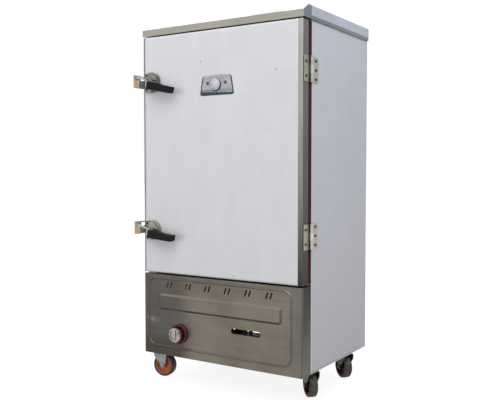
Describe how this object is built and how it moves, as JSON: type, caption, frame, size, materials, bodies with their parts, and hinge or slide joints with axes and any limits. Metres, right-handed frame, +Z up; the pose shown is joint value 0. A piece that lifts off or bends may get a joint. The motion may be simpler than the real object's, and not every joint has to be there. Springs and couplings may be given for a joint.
{
  "type": "gas rice steamer",
  "caption": "Upright insulated steel steam cabinet on casters, with a hinged door, lever latches, trays, a water tank and a gas burner behind a knob panel.",
  "frame": {"origin": "on the floor, below the middle of the cabinet", "axes": "+X to the right facing the door, +Y to the back, +Z up"},
  "size_m": [0.743, 0.63, 1.381],
  "materials": {
    "brushed_shell": "brushed stainless sheet",
    "filmed_panel": "stainless sheet under a pale protective film",
    "lid_sheet": "brushed stainless sheet",
    "panel_sheet": "brushed stainless sheet, pressed",
    "inner_sheet": "plain stainless sheet",
    "frame_steel": "painted angle steel",
    "cast_burner": "raw cast iron",
    "gas_tube": "drawn steel tube",
    "valve_brass": "machined brass",
    "bezel_red": "dark red moulding",
    "knob_metal": "bright plated, fluted",
    "insulation": "mineral wool",
    "gasket_rubber": "dark red sealing rubber",
    "cast_fitting": "plated casting, slightly dull",
    "hinge_steel": "satin steel",
    "grip_plastic": "black moulded grip",
    "pad_bronze": "worn bronze pad",
    "screw_steel": "plated",
    "fork_zinc": "zinc plated pressing",
    "core_orange": "orange moulded wheel centre",
    "tyre_dark": "dark solid rubber",
    "lever_red": "painted lever"
  },
  "bodies": {
    "cabinet": {"left_side_panel": "filmed_panel", "right_side_panel": "filmed_panel", "back_panel": "brushed_shell", "lid": "lid_sheet", "chamber_liner": "inner_sheet", "wall_insulation": "insulation", "front_frame": "inner_sheet", "control_panel": "panel_sheet", "base_frame": "frame_steel", "water_tank": "inner_sheet", "burner": "cast_burner", "gas_pipe": "gas_tube", "gas_valve": "valve_brass", "igniter": "gas_tube", "knob_bezel": "bezel_red", "tray_racks": "inner_sheet", "tray_01": "inner_sheet", "tray_02": "inner_sheet", "tray_03": "inner_sheet", "tray_04": "inner_sheet", "tray_05": "inner_sheet", "tray_06": "inner_sheet", "tray_07": "inner_sheet", "tray_08": "inner_sheet", "tray_09": "inner_sheet", "tray_10": "inner_sheet", "rear_outlets": "brushed_shell", "water_pipes": "gas_tube", "drain_valve": "valve_brass", "caster_plates": "fork_zinc", "cabinet_hinge_leaves": "hinge_steel", "latch_keepers": "cast_fitting", "keeper_pads": "pad_bronze", "cabinet_screws": "screw_steel"},
    "door": {"door_skin": "filmed_panel", "door_liner": "inner_sheet", "door_insulation": "insulation", "door_gasket": "gasket_rubber", "door_hinge_leaves": "hinge_steel", "latch_housings": "cast_fitting", "door_screws": "screw_steel"},
    "upper_latch": {"latch_lever_upper": "cast_fitting", "latch_grip_upper": "grip_plastic"},
    "lower_latch": {"latch_lever_lower": "cast_fitting", "latch_grip_lower": "grip_plastic"},
    "knob_stem": {"knob_stem": "gas_tube"},
    "gas_knob": {"gas_knob": "knob_metal"},
    "drain_lever": {"drain_lever": "lever_red"},
    "fork_front_left": {"caster_fork_front_left": "fork_zinc"},
    "wheel_front_left": {"wheel_core_front_left": "core_orange", "wheel_tyre_front_left": "tyre_dark"},
    "fork_front_right": {"caster_fork_front_right": "fork_zinc"},
    "wheel_front_right": {"wheel_core_front_right": "core_orange", "wheel_tyre_front_right": "tyre_dark"},
    "fork_rear_left": {"caster_fork_rear_left": "fork_zinc"},
    "wheel_rear_left": {"wheel_core_rear_left": "core_orange", "wheel_tyre_rear_left": "tyre_dark"},
    "fork_rear_right": {"caster_fork_rear_right": "fork_zinc"},
    "wheel_rear_right": {"wheel_core_rear_right": "core_orange", "wheel_tyre_rear_right": "tyre_dark"}
  },
  "joints": [
    {"name": "door_hinge", "type": "hinge", "parent": "cabinet", "child": "door", "pos_m": [0.357, -0.2175, 0.875], "axis": [0, 0, 1], "range_deg": [0, 180]},
    {"name": "upper_latch_turn", "type": "hinge", "parent": "door", "child": "upper_latch", "pos_m": [-0.308, -0.29, 1.146], "axis": [0, -1, 0], "range_deg": [-37.5, 15.5]},
    {"name": "lower_latch_turn", "type": "hinge", "parent": "door", "child": "lower_latch", "pos_m": [-0.308, -0.29, 0.578], "axis": [0, -1, 0], "range_deg": [-44, 9]},
    {"name": "knob_turn", "type": "hinge", "parent": "cabinet", "child": "knob_stem", "pos_m": [-0.178, -0.25, 0.196], "axis": [0, -1, 0], "range_deg": [0, 180]},
    {"name": "knob_push", "type": "slide", "parent": "knob_stem", "child": "gas_knob", "axis": [0, 1, 0], "range_m": [0, 0.004], "stiffness_N_per_m": 600, "springref_m": -0.001},
    {"name": "drain_lever_turn", "type": "hinge", "parent": "cabinet", "child": "drain_lever", "pos_m": [-0.17, 0.286, 0.375], "axis": [0, 0, 1], "range_deg": [0, 90]},
    {"name": "swivel_front_left", "type": "hinge", "parent": "cabinet", "child": "fork_front_left", "pos_m": [-0.324, -0.206, 0.1], "axis": [0, 0, 1], "continuous": true},
    {"name": "roll_front_left", "type": "hinge", "parent": "fork_front_left", "child": "wheel_front_left", "pos_m": [-0.3043, -0.20253, 0.045], "axis": [-0.1736, 0.9848, 0], "continuous": true},
    {"name": "swivel_front_right", "type": "hinge", "parent": "cabinet", "child": "fork_front_right", "pos_m": [0.324, -0.142, 0.1], "axis": [0, 0, 1], "continuous": true},
    {"name": "roll_front_right", "type": "hinge", "parent": "fork_front_right", "child": "wheel_front_right", "pos_m": [0.30937, -0.12836, 0.045], "axis": [-0.682, -0.7314, 0], "continuous": true},
    {"name": "swivel_rear_left", "type": "hinge", "parent": "cabinet", "child": "fork_rear_left", "pos_m": [-0.324, 0.146, 0.1], "axis": [0, 0, 1], "continuous": true},
    {"name": "roll_rear_left", "type": "hinge", "parent": "fork_rear_left", "child": "wheel_rear_left", "pos_m": [-0.31651, 0.16454, 0.045], "axis": [-0.9272, 0.3746, 0], "continuous": true},
    {"name": "swivel_rear_right", "type": "hinge", "parent": "cabinet", "child": "fork_rear_right", "pos_m": [0.324, 0.146, 0.1], "axis": [0, 0, 1], "continuous": true},
    {"name": "roll_rear_right", "type": "hinge", "parent": "fork_rear_right", "child": "wheel_rear_right", "pos_m": [0.30782, 0.15776, 0.045], "axis": [-0.5878, -0.809, 0], "continuous": true}
  ]
}
